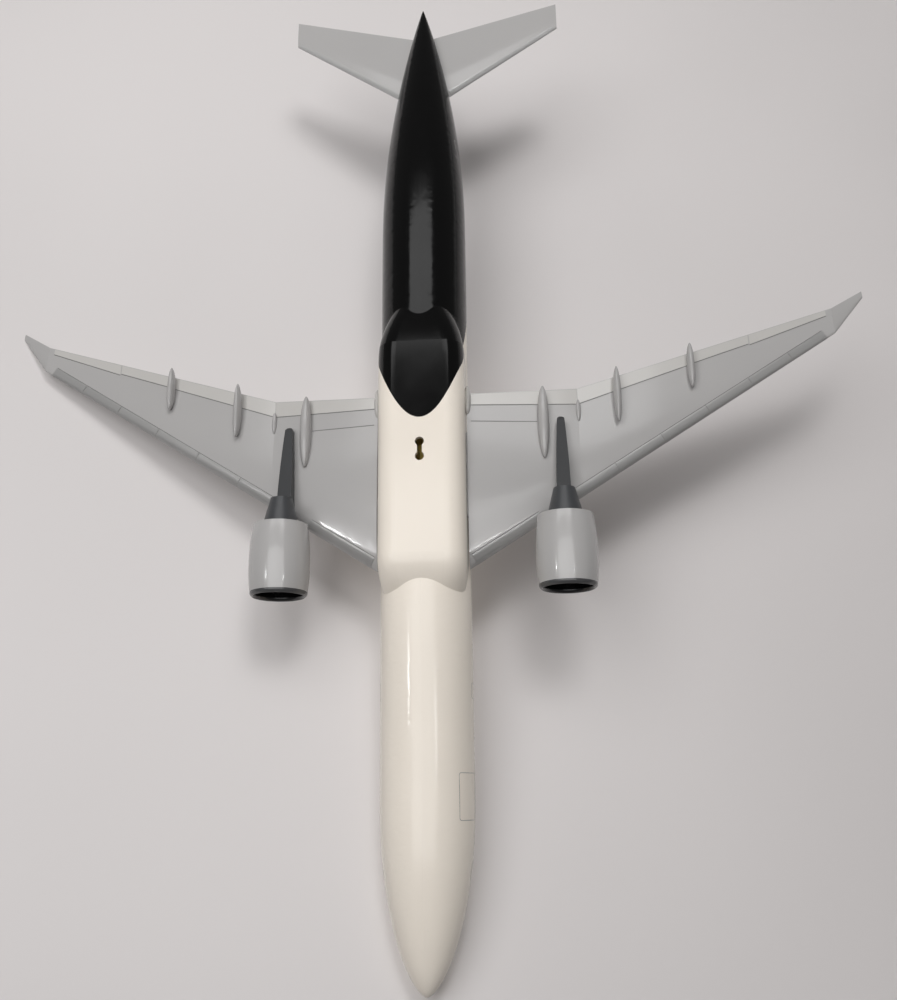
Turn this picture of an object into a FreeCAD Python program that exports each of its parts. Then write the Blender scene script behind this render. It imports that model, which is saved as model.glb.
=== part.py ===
import FreeCAD
import Part
import math
import os

# Desktop airliner model: a 1:200 twin-engine wide-body with its gear up, made
# of moulded pieces that plug into a two-half fuselage on a belly stand socket.
#
# While the pieces are shaped, stations run aft from the nose tip along +Y and
# heights run up from the fuselage axis along +Z. +X is the port side. Every
# piece is then moved so that the origin is the mouth of the stand socket.
# All sizes are in millimetres.

# Fuselage tube
fuselage_length = 365.6
fuselage_radius = 15.5
shell_wall = 2.0
nose_run = 60.0
nose_crown_run = 66.0
nose_belly_run = 48.0
nose_tip_height = -4.4
tail_run = 103.6
tail_crown_run = 66.0
tail_belly_run = 127.0
tail_tip_height = 3.0
nose_flat = 0.15
tail_flat = 0.4
cavity_end_margin = 8.0
cavity_tail_margin = 17.0

# Wing-to-body fairing under the belly
fairing_front = 120.8
fairing_rear = 231.5
fairing_front_slope = 15.2
fairing_rear_slope = 20.5
fairing_depth = 18.2
fairing_half_width = 15.1
fairing_corner = 7.0
fairing_top = 3.0
fairing_top_corner = 1.0
fairing_front_lip_depth = 9.0
fairing_front_pinch = 2.3
fairing_rear_lip_depth = 13.0
fairing_rear_curve = 1.15
fairing_shoulder_run = 25.5
fairing_rear_pinch = 7.6

# Stand socket: two round ends joined by a narrower neck
socket_station = 171.5
socket_radius = 1.55
socket_spacing = 5.2
socket_neck = 1.7
socket_depth = 7.9
socket_cup_wall = 1.2

# Glue pegs and bosses across the fuselage seam
peg_radius = 1.1
peg_length = 8.0
boss_radius = 2.3
peg_stations = [38.0, 105.0, 226.0]
tail_peg_distance = 75.0
peg_height_share = 0.55

# Wing planform: root, trailing edge kink, start of the raked tip, tip
wing_gap = 0.5
wing_kink_span = 54.2
wing_half_span = 161.9
wing_rake_length = 13.1
wing_root_edge = 131.9
wing_root_tail = 194.2
wing_kink_tail = 197.2
wing_rake_edge = 219.1
wing_rake_tail = 229.7
wing_tip_edge = 235.4
wing_tip_tail = 238.2
wing_edge_heights = [-6.5, -1.2, 11.6, 17.6]
wing_tail_heights = [-8.1, -0.6, 13.2, 17.9]
wing_thickness_ratios = [0.125, 0.115, 0.1, 0.28]
trailing_edge_thickness = 0.35
wing_camber = 0.012

# Wing tabs and the block inside the fuselage that holds them
wing_tab_setback = 18.1
wing_tab_length = 30.0
wing_tab_thickness = 3.0
wing_tab_reach = 12.0
wing_tab_bite = 1.0
wing_carrier_wall = 3.0
wing_carrier_grip = 3.1
tab_clearance = 0.1

# Flap-track fairings, from the root outwards: each one's tail stands past the
# trailing edge by its overhang, and its axis hangs below the wing by its drop
canoe_spans = [42.0, 54.3, 68.2, 95.0]
canoe_overhangs = [0.8, -4.5, 2.4, 2.7]
canoe_lengths = [26.6, 8.2, 20.6, 16.9]
canoe_drops = [2.8, 1.2, 4.1, 3.4]
canoe_half_widths = [1.95, 0.85, 1.4, 1.35]
canoe_keel_ratio = 1.15
canoe_seat_share = 0.55
canoe_fullness = 2.5
canoe_bluntness = 0.62

# Fin
fin_height = 46.0
fin_root_front_distance = 58.0
fin_root_chord = 44.5
fin_tip_front_distance = 12.6
fin_tip_chord = 16.5
fin_thickness_ratio = 0.09
fin_sink = 9.0
fin_tab_front_distance = 54.0
fin_tab_length = 18.0
fin_tab_thickness = 2.0
fin_tab_depth = 5.0
fin_tab_bite = 1.0

# Tailplanes
tailplane_half_span = 53.7
tailplane_center_front_distance = 46.5
tailplane_center_tail_distance = 13.1
tailplane_tip_front_distance = 4.9
tailplane_tip_chord = 11.8
tailplane_center_height = 5.4
tailplane_tip_height = 13.3
tailplane_thickness_ratio = 0.095
tailplane_tab_front_distance = 34.0
tailplane_tab_length = 12.0
tailplane_tab_thickness = 1.3
tailplane_tab_inner = 1.6
tailplane_tab_bite = 0.8
tail_carrier_wall = 1.8

# Engines
engine_span = 47.9
engine_height = -13.2
cowl_front = 123.2
cowl_length = 24.5
cowl_lip_radius = 9.55
cowl_radius = 10.25
cowl_tail_radius = 9.2
cowl_widest_share = 0.42
cowl_wall = 1.7
cowl_tail_wall = 0.5
cowl_cheek_drop = 0.15
cowl_shoulder_share = 0.25
lip_length = 1.5
lip_crest_share = 0.53
lip_round = 0.22
lip_round_share = 0.33
core_front_gap = 9.0
core_front_radius = 3.4
core_radius = 6.1
core_shoulder = 6.0
core_length = 9.4
nozzle_radius = 3.65
nozzle_wall = 0.6
nozzle_depth = 5.0
plug_radius = 1.5
plug_tip_reach = 0.8
plug_waist_setback = 2.0
plug_waist_share = 0.8
fan_blade_count = 22
fan_gap = 0.25
fan_chord = 2.4
fan_blade_thickness = 0.35
fan_pitch = 38.0
fan_blade_margin = 0.25
fan_blade_root_share = 0.6
fan_hub_radius = 2.0
spinner_length = 3.6
spinner_waist_length = 1.6
spinner_waist_share = 0.72
cone_tip_radius = 0.25
spindle_radius = 1.2
spindle_length = 4.0

# Pylons: the tail and the peg are set back from the wing's leading edge, and
# the tail's bottom and the peg's ends are measured from the wing's chord line
pylon_front_share = 0.51
pylon_half_width = 2.38
pylon_middle_half_width = 2.05
pylon_tail_half_width = 1.3
pylon_tail_setback = 32.5
pylon_tail_drop = 4.3
pylon_tail_chamfer = 1.2
pylon_brow = 0.5
pylon_crest = 0.3
pylon_shoulder = 3.0
pylon_seat_margin = 1.5
pylon_heel = 1.0
pylon_peg_setback = 13.0
pylon_peg_length = 9.0
pylon_peg_thickness = 1.6
pylon_peg_rise = 0.6
pylon_peg_root = 4.2

outline_points = 16
profile_steps = 9
slope_steps = 5
shoulder_steps = 2
canoe_steps = 8
canoe_blunt_end = 0.01
overcut = 1.0
tool_size = 500.0


def spot(x, station, height):
    """A point by its span, its station and its height."""
    return FreeCAD.Vector(x, station, height)


def reach(distance, run, curve, bluntness):
    """How much of its full size a rounded end has at a distance from its tip."""
    share = min(max(distance / run, 0.0), 1.0)
    return (1 - (1 - share) ** curve) ** bluntness


def between(x, places, values):
    """Read a value at x from straight lines drawn between known places."""
    last = len(places) - 1
    step = 1
    while step < last and x > places[step]:
        step += 1
    share = (x - places[step - 1]) / (places[step] - places[step - 1])
    return values[step - 1] + share * (values[step] - values[step - 1])


def block(x_low, x_high, station_low, station_high, height_low, height_high):
    """A box given by its faces."""
    corner = spot(x_low, station_low, height_low)
    return Part.makeBox(x_high - x_low, station_high - station_low, height_high - height_low, corner)


def joined(shapes):
    """Fuse a list of touching shapes into one."""
    whole = shapes[0]
    for shape in shapes[1:]:
        whole = whole.fuse(shape)
    return whole.removeSplitter()


# ---------------------------------------------------------------- fuselage

def body_size(station):
    """Half width, belly height and crown height of the fuselage skin."""
    to_tail = fuselage_length - station
    nose_width = reach(station, nose_run, 2.1, 0.62)
    tail_width = reach(to_tail, tail_run, 1.95, 0.93)
    half_width = fuselage_radius * nose_width * tail_width
    if station < fuselage_length / 2:
        crown_rise = reach(station, nose_crown_run, 2.0, 0.64)
        belly_drop = reach(station, nose_belly_run, 2.1, 0.58)
        tip = nose_tip_height
    else:
        crown_rise = reach(to_tail, tail_crown_run, 2.2, 1.0)
        belly_drop = reach(to_tail, tail_belly_run, 1.8, 1.0)
        tip = tail_tip_height
    crown = tip + (fuselage_radius - tip) * crown_rise
    belly = tip - (fuselage_radius + tip) * belly_drop
    if station > fuselage_length - tail_flat * 2:
        crown = tip + half_width
        belly = tip - half_width
    return half_width, belly, crown


def oval(station, half_width, bottom, top):
    """A closed upright oval at one station."""
    middle = (top + bottom) / 2
    half_height = (top - bottom) / 2
    points = []
    for step in range(outline_points):
        angle = 2 * math.pi * step / outline_points
        points.append(spot(half_width * math.sin(angle), station, middle - half_height * math.cos(angle)))
    curve = Part.BSplineCurve()
    curve.interpolate(Points=points, PeriodicFlag=True)
    return Part.Wire([curve.toShape()])


def body_stations(front, rear):
    """Stations from front to rear, closer together towards the two ends."""
    nose = [front + (nose_run - front) * (step / 9) ** 2 for step in range(9)]
    barrel_end = fuselage_length - tail_belly_run
    barrel_step = (barrel_end - nose_run) / 6
    barrel = [nose_run + barrel_step * step for step in range(6)]
    tail = [rear - (rear - barrel_end) * (1 - step / 11) ** 1.5 for step in range(12)]
    return nose + barrel + tail


def body_solid(front, rear, inset):
    """The fuselage tube, or its cavity when inset by the wall."""
    rings = []
    for station in body_stations(front, rear):
        half_width, belly, crown = body_size(station)
        rings.append(oval(station, half_width - inset, belly + inset, crown - inset))
    return Part.makeLoft(rings, True, False)


def rounded_frame(station, half_width, bottom, top, bottom_corner, top_corner):
    """A closed upright rectangle with round corners at one station."""
    arcs = []
    for quarter in range(4):
        side = 1 if quarter in (0, 3) else -1
        corner = top_corner if quarter < 2 else bottom_corner
        level = top - corner if quarter < 2 else bottom + corner
        bend = []
        for eighth in range(3):
            angle = math.pi / 2 * (quarter + eighth / 2)
            bend.append(spot(side * (half_width - corner) + corner * math.cos(angle), station,
                             level + corner * math.sin(angle)))
        arcs.append(bend)
    edges = []
    for quarter, bend in enumerate(arcs):
        edges.append(Part.Arc(bend[0], bend[1], bend[2]).toShape())
        edges.append(Part.makeLine(bend[2], arcs[(quarter + 1) % 4][0]))
    return Part.Wire(edges)


def fairing_frame(station, inset):
    """The belly fairing's outline at one station."""
    front_part = reach(station - fairing_front, fairing_front_slope, 2.0, 1.0)
    rear_part = reach(fairing_rear - station, fairing_rear_slope, fairing_rear_curve, 1.0)
    shoulder_part = reach(fairing_rear - station, fairing_shoulder_run, 2.0, 1.0)
    front_rise = (fairing_depth - fairing_front_lip_depth) * (1 - front_part)
    rear_rise = (fairing_depth - fairing_rear_lip_depth) * (1 - rear_part)
    bottom = front_rise + rear_rise - fairing_depth
    front_pinch = fairing_front_pinch * (1 - front_part)
    rear_pinch = fairing_rear_pinch * (1 - shoulder_part)
    half_width = fairing_half_width - front_pinch - rear_pinch
    return rounded_frame(station, half_width - inset, bottom + inset, fairing_top - inset,
                         fairing_corner - inset, fairing_top_corner)


def fairing_loft(start, end, steps, inset):
    """One length of the fairing, drawn smoothly through its outlines."""
    run = (end - start) / steps
    frames = [fairing_frame(start + run * step, inset) for step in range(steps + 1)]
    return Part.makeLoft(frames, True, False)


def fairing_solid(inset):
    """The belly fairing with its flat bottom, or its cavity when inset by the wall."""
    flat_front = fairing_front + fairing_front_slope
    shoulder = fairing_rear - fairing_shoulder_run
    flat_rear = fairing_rear - fairing_rear_slope
    flat = Part.Face(fairing_frame(flat_front, inset)).extrude(spot(0, shoulder - flat_front, 0))
    return flat.fuse([fairing_loft(fairing_front + inset, flat_front, slope_steps, inset),
                      fairing_loft(shoulder, flat_rear, shoulder_steps, inset),
                      fairing_loft(flat_rear, fairing_rear - inset, slope_steps, inset)])


def socket_cutter(radius, neck, bottom, top):
    """The socket's outline, round at both ends, raised between two heights."""
    half = socket_spacing / 2
    ends = []
    for station in (socket_station - half, socket_station + half):
        ends.append(Part.makeCylinder(radius, top - bottom, spot(0, station, bottom)))
    bridge = block(-neck / 2, neck / 2, socket_station - half, socket_station + half, bottom, top)
    return joined(ends + [bridge])


def peg_places():
    """Station and height of each peg across the seam, two to a station."""
    places = []
    for station in peg_stations + [fuselage_length - tail_peg_distance]:
        half_width, belly, crown = body_size(station)
        middle = (belly + crown) / 2
        offset = (crown - belly) / 2 * peg_height_share
        places.append((station, middle + offset))
        places.append((station, middle - offset))
    return places


def peg_row(radius, half_length):
    """One round bar across the seam at every peg place."""
    bars = []
    for station, height in peg_places():
        start = spot(-half_length, station, height)
        bars.append(Part.makeCylinder(radius, 2 * half_length, start, spot(1, 0, 0)))
    return bars


# ------------------------------------------------------- wings, fin and tail

def section_points(chord, ratio, camber):
    """An aerofoil from the tail over the top to the nose and back below."""
    upper = []
    lower = []
    for step in range(profile_steps + 1):
        share = (1 - math.cos(math.pi * step / profile_steps)) / 2
        root = math.sqrt(share)
        shape = 1.4845 * root - 0.63 * share - 1.758 * share ** 2 + 1.4215 * share ** 3 - 0.518 * share ** 4
        half = ratio * chord * shape + trailing_edge_thickness / 2 * share
        lift = 4 * camber * chord * share * (1 - share)
        upper.append((share * chord, lift + half))
        lower.append((share * chord, lift - half))
    return upper[::-1] + lower[1:]


def section_wire(places):
    """Close one aerofoil through its points with its blunt trailing edge."""
    curve = Part.BSplineCurve()
    curve.interpolate(places)
    closing = Part.makeLine(places[-1], places[0])
    return Part.Wire([curve.toShape(), closing])


def wing_section(x, front, rear, front_height, rear_height, ratio, camber):
    """A wing section standing along the flight line at one span."""
    chord = rear - front
    places = []
    for run, rise in section_points(chord, ratio, camber):
        height = front_height + (rear_height - front_height) * run / chord + rise
        places.append(spot(x, front + run, height))
    return section_wire(places)


wing_root_span = fairing_half_width + wing_gap
wing_rake_span = wing_half_span - wing_rake_length
wing_spans = [wing_root_span, wing_kink_span, wing_rake_span, wing_half_span]
wing_edge_slope = (wing_rake_edge - wing_root_edge) / (wing_rake_span - wing_root_span)
wing_kink_edge = wing_root_edge + wing_edge_slope * (wing_kink_span - wing_root_span)
wing_edges = [wing_root_edge, wing_kink_edge, wing_rake_edge, wing_tip_edge]
wing_tails = [wing_root_tail, wing_kink_tail, wing_rake_tail, wing_tip_tail]


def chord_height(x, station):
    """Height of the wing's chord line at a span and a station."""
    front = between(x, wing_spans, wing_edges)
    rear = between(x, wing_spans, wing_tails)
    front_height = between(x, wing_spans, wing_edge_heights)
    rear_height = between(x, wing_spans, wing_tail_heights)
    return front_height + (rear_height - front_height) * (station - front) / (rear - front)


def mean_height(x, station):
    """Height of the middle of the wing's thickness at a span and a station."""
    front = between(x, wing_spans, wing_edges)
    chord = between(x, wing_spans, wing_tails) - front
    share = (station - front) / chord
    return chord_height(x, station) + 4 * wing_camber * chord * share * (1 - share)


wing_tab_front = wing_root_edge + wing_tab_setback
wing_tab_rear = wing_tab_front + wing_tab_length
wing_tab_front_height = mean_height(wing_root_span, wing_tab_front)
wing_tab_rear_height = mean_height(wing_root_span, wing_tab_rear)
wing_tab_height = (wing_tab_front_height + wing_tab_rear_height) / 2


def wing_blade():
    """The port wing outside the fuselage, without its tab or pockets."""
    sections = []
    for x, front, rear, low, high, ratio in zip(wing_spans, wing_edges, wing_tails, wing_edge_heights,
                                                wing_tail_heights, wing_thickness_ratios):
        sections.append(wing_section(x, front, rear, low, high, ratio, wing_camber))
    return Part.makeLoft(sections, True, True)


def wing_tab(side_clearance, end_clearance):
    """The port wing's tab, or the space it needs."""
    half = wing_tab_thickness / 2 + side_clearance
    inner = wing_root_span - wing_tab_reach - end_clearance
    return block(inner, wing_root_span + wing_tab_bite, wing_tab_front - side_clearance,
                 wing_tab_rear + side_clearance, wing_tab_height - half, wing_tab_height + half)


def pylon_peg(clearance):
    """The peg on top of the port pylon, or the space it needs in the wing."""
    front = between(engine_span, wing_spans, wing_edges) + pylon_peg_setback
    rear = front + pylon_peg_length
    middle = chord_height(engine_span, (front + rear) / 2)
    half = pylon_peg_thickness / 2 + clearance
    return block(engine_span - half, engine_span + half, front - clearance, rear + clearance,
                 middle - pylon_peg_root, middle + pylon_peg_rise + clearance)


def canoe(number, wing):
    """One flap-track fairing, shaped like a canoe and seated under the wing."""
    x = canoe_spans[number]
    length = canoe_lengths[number]
    front = between(x, wing_spans, wing_tails) + canoe_overhangs[number] - length
    rise = canoe_drops[number]
    axis = chord_height(x, front + length * canoe_seat_share) - rise
    half_width = canoe_half_widths[number]
    keel = half_width * canoe_keel_ratio
    rings = []
    for step in range(canoe_steps + 1):
        share = canoe_blunt_end + (1 - 2 * canoe_blunt_end) * (1 - math.cos(math.pi * step / canoe_steps)) / 2
        swell = (1 - abs(2 * share - 1) ** canoe_fullness) ** canoe_bluntness
        station = front + length * share
        rings.append(oval(station, half_width * swell, axis - keel * swell, axis + rise * swell))
    hull = Part.makeLoft(rings, True, False)
    hull.translate(spot(x, 0, 0))
    return largest(hull.cut(wing))


def largest(shape):
    """The biggest solid of a shape that a cut has divided."""
    return max(shape.Solids, key=lambda solid: solid.Volume)


def fin_section(height, front, chord):
    """A fin section lying flat at one height, as thick on both sides."""
    places = []
    for run, rise in section_points(chord, fin_thickness_ratio, 0.0):
        places.append(spot(rise, front + run, height))
    return section_wire(places)


def fin_blade():
    """The fin from inside the crown to its tip."""
    root_front = fuselage_length - fin_root_front_distance
    tip_front = fuselage_length - fin_tip_front_distance
    root_height = fuselage_radius
    slope = (tip_front - root_front) / fin_height
    tail_slope = (tip_front + fin_tip_chord - root_front - fin_root_chord) / fin_height
    low_front = root_front - slope * fin_sink
    low_tail = root_front + fin_root_chord - tail_slope * fin_sink
    sections = [fin_section(root_height - fin_sink, low_front, low_tail - low_front),
                fin_section(root_height + fin_height, tip_front, fin_tip_chord)]
    return Part.makeLoft(sections, True, True)


def fin_tab(clearance):
    """The tab under the fin, or the slot it needs in the crown."""
    front = fuselage_length - fin_tab_front_distance
    rear = front + fin_tab_length
    front_crown = body_size(front)[2]
    rear_crown = body_size(rear)[2]
    half = fin_tab_thickness / 2 + clearance
    return block(-half, half, front - clearance, rear + clearance,
                 rear_crown - fin_tab_depth - clearance, front_crown + fin_tab_bite)


tailplane_tab_front = fuselage_length - tailplane_tab_front_distance
tailplane_tab_rear = tailplane_tab_front + tailplane_tab_length
tailplane_tab_outer = body_size(tailplane_tab_front)[0] + tailplane_tab_bite
tailplane_tab_height = between(tailplane_tab_outer, [0.0, tailplane_half_span],
                               [tailplane_center_height, tailplane_tip_height])


def tailplane_blade():
    """The port tailplane from the fuselage's middle out to its tip."""
    center_front = fuselage_length - tailplane_center_front_distance
    center_rear = fuselage_length - tailplane_center_tail_distance
    tip_front = fuselage_length - tailplane_tip_front_distance
    sections = [wing_section(0, center_front, center_rear, tailplane_center_height,
                             tailplane_center_height, tailplane_thickness_ratio, 0.0),
                wing_section(tailplane_half_span, tip_front, tip_front + tailplane_tip_chord,
                             tailplane_tip_height, tailplane_tip_height, tailplane_thickness_ratio, 0.0)]
    return Part.makeLoft(sections, True, True)


def tailplane_tab(side_clearance, end_clearance):
    """The port tailplane's tab, or the space it needs."""
    half = tailplane_tab_thickness / 2 + side_clearance
    return block(tailplane_tab_inner - end_clearance, tailplane_tab_outer,
                 tailplane_tab_front - side_clearance, tailplane_tab_rear + side_clearance,
                 tailplane_tab_height - half, tailplane_tab_height + half)


# ----------------------------------------------------------------- engines

def turned(outline):
    """Turn an outline of (station, radius) points about an engine's axis."""
    points = [spot(radius, station, 0) for station, radius in outline]
    face = Part.Face(Part.makePolygon(points + points[:1]))
    solid = face.revolve(spot(0, 0, 0), spot(0, 1, 0), 360)
    solid.translate(spot(engine_span, 0, engine_height))
    return solid


def turned_between(outer, inner):
    """Turn the band between an outer and an inner curve about an engine's axis."""
    outer_points = [spot(radius, station, 0) for station, radius in outer]
    inner_points = [spot(radius, station, 0) for station, radius in inner]
    outer_curve = Part.BSplineCurve()
    outer_curve.interpolate(outer_points)
    inner_curve = Part.BSplineCurve()
    inner_curve.interpolate(inner_points)
    edges = [outer_curve.toShape(), Part.makeLine(outer_points[-1], inner_points[-1]),
             inner_curve.toShape(), Part.makeLine(inner_points[0], outer_points[0])]
    face = Part.Face(Part.Wire(Part.__sortEdges__(edges)))
    solid = face.revolve(spot(0, 0, 0), spot(0, 1, 0), 360)
    solid.translate(spot(engine_span, 0, engine_height))
    return solid


duct_radius = cowl_lip_radius - cowl_wall
duct_tail_radius = cowl_tail_radius - cowl_tail_wall
lip_crest_radius = duct_radius + cowl_wall * lip_crest_share
cowl_rear = cowl_front + cowl_length
lip_rear = cowl_front + lip_length
core_front = cowl_front + core_front_gap
nozzle_rear = cowl_rear + core_length
fan_front = core_front - fan_chord
pylon_front = cowl_front + cowl_length * pylon_front_share


def cowl_solid():
    """The fan cowl barrel behind the inlet lip."""
    widest = cowl_front + cowl_length * cowl_widest_share
    cheek = (lip_rear + widest) / 2
    shoulder = (widest + cowl_rear) / 2
    shoulder_radius = cowl_radius - (cowl_radius - cowl_tail_radius) * cowl_shoulder_share
    outer = [(lip_rear, cowl_lip_radius), (cheek, cowl_radius - cowl_cheek_drop),
             (widest, cowl_radius), (shoulder, shoulder_radius), (cowl_rear, cowl_tail_radius)]
    inner = [(lip_rear, duct_radius), (core_front, duct_radius), (cowl_rear, duct_tail_radius)]
    return turned_between(outer, inner)


def lip_solid():
    """The round inlet lip in front of the cowl."""
    nose = spot(lip_crest_radius, cowl_front, 0)
    outer_end = spot(cowl_lip_radius, lip_rear, 0)
    inner_end = spot(duct_radius, lip_rear, 0)
    bend = cowl_front + lip_length * lip_round_share
    outer_middle = spot(cowl_lip_radius - lip_round, bend, 0)
    inner_middle = spot(duct_radius + lip_round, bend, 0)
    edges = [Part.Arc(outer_end, outer_middle, nose).toShape(),
             Part.Arc(nose, inner_middle, inner_end).toShape(),
             Part.makeLine(inner_end, outer_end)]
    solid = Part.Face(Part.Wire(edges)).revolve(spot(0, 0, 0), spot(0, 1, 0), 360)
    solid.translate(spot(engine_span, 0, engine_height))
    return solid


def core_solid(hollow):
    """The engine core from behind the fan to the nozzle's rim."""
    outline = [(core_front, 0), (core_front, core_front_radius), (cowl_rear - core_shoulder, core_radius),
               (cowl_rear, core_radius), (nozzle_rear, nozzle_radius), (nozzle_rear, 0)]
    core = turned(outline)
    if not hollow:
        return core
    bowl = nozzle_radius - nozzle_wall
    floor = nozzle_rear - nozzle_depth
    mouth = nozzle_rear + overcut
    core = core.cut(turned([(floor, 0), (floor, bowl), (mouth, bowl), (mouth, 0)]))
    bore_start = core_front - overcut
    bore_end = core_front + spindle_length
    return core.cut(turned([(bore_start, 0), (bore_start, spindle_radius),
                            (bore_end, spindle_radius), (bore_end, 0)]))


def plug_solid():
    """The exhaust plug standing on the nozzle's floor."""
    floor = nozzle_rear - nozzle_depth
    waist = nozzle_rear - plug_waist_setback
    tip = nozzle_rear + plug_tip_reach
    return turned([(floor, 0), (floor, plug_radius), (waist, plug_radius * plug_waist_share),
                   (tip, cone_tip_radius), (tip, 0)])


def fan_solid():
    """The fan: spinner, hub, blades and the spindle that presses into the core."""
    spinner_tip = fan_front - spinner_length
    spinner_waist = fan_front - spinner_waist_length
    spindle_end = core_front + spindle_length
    tip_radius = duct_radius - fan_gap
    hub = turned([(spinner_tip, 0), (spinner_tip, cone_tip_radius),
                  (spinner_waist, fan_hub_radius * spinner_waist_share),
                  (fan_front, fan_hub_radius), (core_front, fan_hub_radius),
                  (core_front, spindle_radius), (spindle_end, spindle_radius), (spindle_end, 0)])
    middle = (fan_front + core_front) / 2
    half_thickness = fan_blade_thickness / 2
    half_chord = fan_chord / 2 - fan_blade_margin
    blades = [hub]
    for number in range(fan_blade_count):
        blade = block(-half_thickness, half_thickness, -half_chord, half_chord,
                      fan_hub_radius * fan_blade_root_share, tip_radius)
        blade.rotate(spot(0, 0, 0), spot(0, 0, 1), fan_pitch)
        blade.rotate(spot(0, 0, 0), spot(0, 1, 0), 360 / fan_blade_count * number)
        blade.translate(spot(engine_span, middle, engine_height))
        blades.append(blade)
    return blades[0].fuse(blades[1:])


def pylon_blank():
    """The port pylon before it is fitted to the wing, the core and the cowl."""
    wing_edge = between(engine_span, wing_spans, wing_edges)
    seat_front = wing_edge + pylon_seat_margin
    tail_end = wing_edge + pylon_tail_setback
    tail_top = chord_height(engine_span, tail_end)
    tail_bottom = tail_top - pylon_tail_drop
    outline = [(pylon_front, engine_height + core_front_radius),
               (pylon_front, engine_height + cowl_radius - pylon_brow),
               (pylon_front + pylon_shoulder, engine_height + cowl_radius + pylon_crest),
               (seat_front, chord_height(engine_span, seat_front)),
               (tail_end, tail_top),
               (tail_end, tail_bottom + pylon_tail_chamfer),
               (tail_end - pylon_tail_chamfer, tail_bottom),
               (nozzle_rear + pylon_heel, engine_height + nozzle_radius - nozzle_wall),
               (nozzle_rear - 2 * pylon_heel, engine_height + core_front_radius - pylon_heel)]
    side_points = [spot(-tool_size / 2, station, height) for station, height in outline]
    side = Part.Face(Part.makePolygon(side_points + side_points[:1])).extrude(spot(tool_size, 0, 0))
    side.translate(spot(engine_span, 0, 0))
    front = pylon_half_width
    middle = pylon_middle_half_width
    rear = pylon_tail_half_width
    front_bend = pylon_front + front
    rear_bend = tail_end - rear
    waist = (nozzle_rear + rear_bend) / 2
    edges = [Part.Arc(spot(-front, front_bend, 0), spot(0, pylon_front, 0),
                      spot(front, front_bend, 0)).toShape(),
             Part.makeLine(spot(front, front_bend, 0), spot(front, nozzle_rear, 0)),
             Part.Arc(spot(front, nozzle_rear, 0), spot(middle, waist, 0),
                      spot(rear, rear_bend, 0)).toShape(),
             Part.Arc(spot(rear, rear_bend, 0), spot(0, tail_end, 0),
                      spot(-rear, rear_bend, 0)).toShape(),
             Part.Arc(spot(-rear, rear_bend, 0), spot(-middle, waist, 0),
                      spot(-front, nozzle_rear, 0)).toShape(),
             Part.makeLine(spot(-front, nozzle_rear, 0), spot(-front, front_bend, 0))]
    plan = Part.Face(Part.Wire(edges)).extrude(spot(0, 0, tool_size))
    plan.translate(spot(engine_span, 0, -tool_size / 2))
    return side.common(plan)


# ------------------------------------------------------------------- export

def save(name, shape):
    """Move one piece to the socket's mouth and write it."""
    piece = shape.copy()
    piece.translate(spot(0, -socket_station, fairing_depth))
    piece.exportStep("parts/" + name + ".step")


def mirrored(shape):
    """The starboard twin of a port piece."""
    return shape.mirror(spot(0, 0, 0), spot(1, 0, 0))


def save_pair(name, shape):
    """Write a port piece and its starboard twin."""
    save(name + "_port", shape)
    save(name + "_starboard", mirrored(shape))


def with_twin(shape):
    """A port cutter and its starboard twin."""
    return [shape, mirrored(shape)]


os.makedirs("parts", exist_ok=True)

# Skins and cavity
tube = body_solid(nose_flat, fuselage_length - tail_flat, 0.0)
tube_cavity = body_solid(cavity_end_margin, fuselage_length - cavity_tail_margin, shell_wall)
skin = tube.fuse(fairing_solid(0.0))
cavity = tube_cavity.fuse(fairing_solid(shell_wall))

# Stand socket cup behind the belly skin
belly = -fairing_depth
floor = belly + shell_wall
socket_top = belly + socket_depth
cup_top = socket_top + socket_cup_wall
cup = socket_cutter(socket_radius + socket_cup_wall, socket_neck + 2 * socket_cup_wall, floor, cup_top)
socket_hole = socket_cutter(socket_radius, socket_neck, belly - overcut, socket_top)
save("stand_socket_cup", cup.cut(socket_hole))

# Block that holds the two wing tabs above the socket
carrier_top = wing_tab_height + wing_tab_thickness / 2 + wing_carrier_wall
carrier_box = block(-tool_size, tool_size, wing_tab_front - wing_carrier_wall,
                    wing_tab_rear + wing_carrier_wall, cup_top - wing_carrier_grip, carrier_top)
tab_pockets = with_twin(wing_tab(tab_clearance, tab_clearance))
wing_carrier = carrier_box.common(cavity).cut(tab_pockets).cut(cup)
save("wing_carrier", largest(wing_carrier))

# Block that holds the two tailplane tabs
tail_half = tailplane_tab_thickness / 2 + tail_carrier_wall
tail_box = block(-tool_size, tool_size, tailplane_tab_front - tail_carrier_wall,
                 tailplane_tab_rear + tail_carrier_wall, tailplane_tab_height - tail_half,
                 tailplane_tab_height + tail_half)
tail_pockets = with_twin(tailplane_tab(tab_clearance, tab_clearance))
save("tail_carrier", largest(tail_box.common(cavity).cut(tail_pockets)))

# Fuselage halves
bosses = [bar.common(skin) for bar in peg_row(boss_radius, fuselage_radius)]
shell = skin.cut(cavity).fuse(bosses)
openings = tab_pockets + tail_pockets + peg_row(peg_radius, peg_length / 2)
openings += [fin_tab(tab_clearance), socket_hole]
shell = shell.cut(openings)
half_space = block(0, tool_size, -tool_size, 2 * tool_size, -tool_size, tool_size)
save("fuselage_shell_port", largest(shell.common(half_space)))
save("fuselage_shell_starboard", largest(shell.common(mirrored(half_space))))
save("seam_pegs", Part.makeCompound(peg_row(peg_radius, peg_length / 2)))

# Wings and their flap-track fairings
blade = wing_blade()
wing = joined([blade, wing_tab(0.0, 0.0)]).cut(pylon_peg(tab_clearance))
save_pair("wing", wing)
for number in range(len(canoe_spans)):
    save_pair("flap_track_fairing_" + str(number + 1), canoe(number, blade))

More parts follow.
